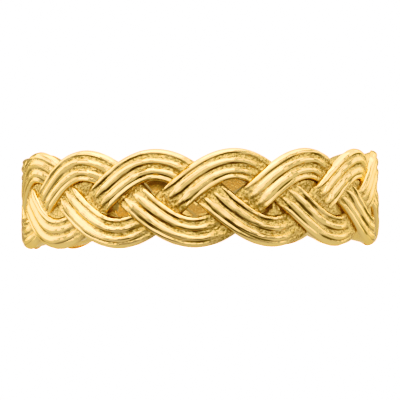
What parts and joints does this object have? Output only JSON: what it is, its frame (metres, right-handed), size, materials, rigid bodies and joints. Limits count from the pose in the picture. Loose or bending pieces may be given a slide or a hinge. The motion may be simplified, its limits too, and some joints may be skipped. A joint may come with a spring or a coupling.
{
  "type": "braided band ring",
  "caption": "Finger ring plaited from ridged gold strands that pass over and under each other all round, with lobed edges, small openings between the strands and a narrower back.",
  "frame": {"origin": "centre of the finger hole, on the surface that the ring lies on", "axes": "+Z along the finger hole, up from the surface; the front of the band faces -Y and its narrow back +Y"},
  "size_m": [0.0206, 0.0205, 0.0055],
  "materials": {
    "yellow_gold": "polished yellow gold on the ridges, with a fine sandy cast surface in the grooves and where a strand dips beneath another"
  },
  "bodies": {
    "root": {"braid_strand_a": "yellow_gold", "braid_strand_b": "yellow_gold", "braid_strand_c": "yellow_gold"}
  },
  "joints": []
}
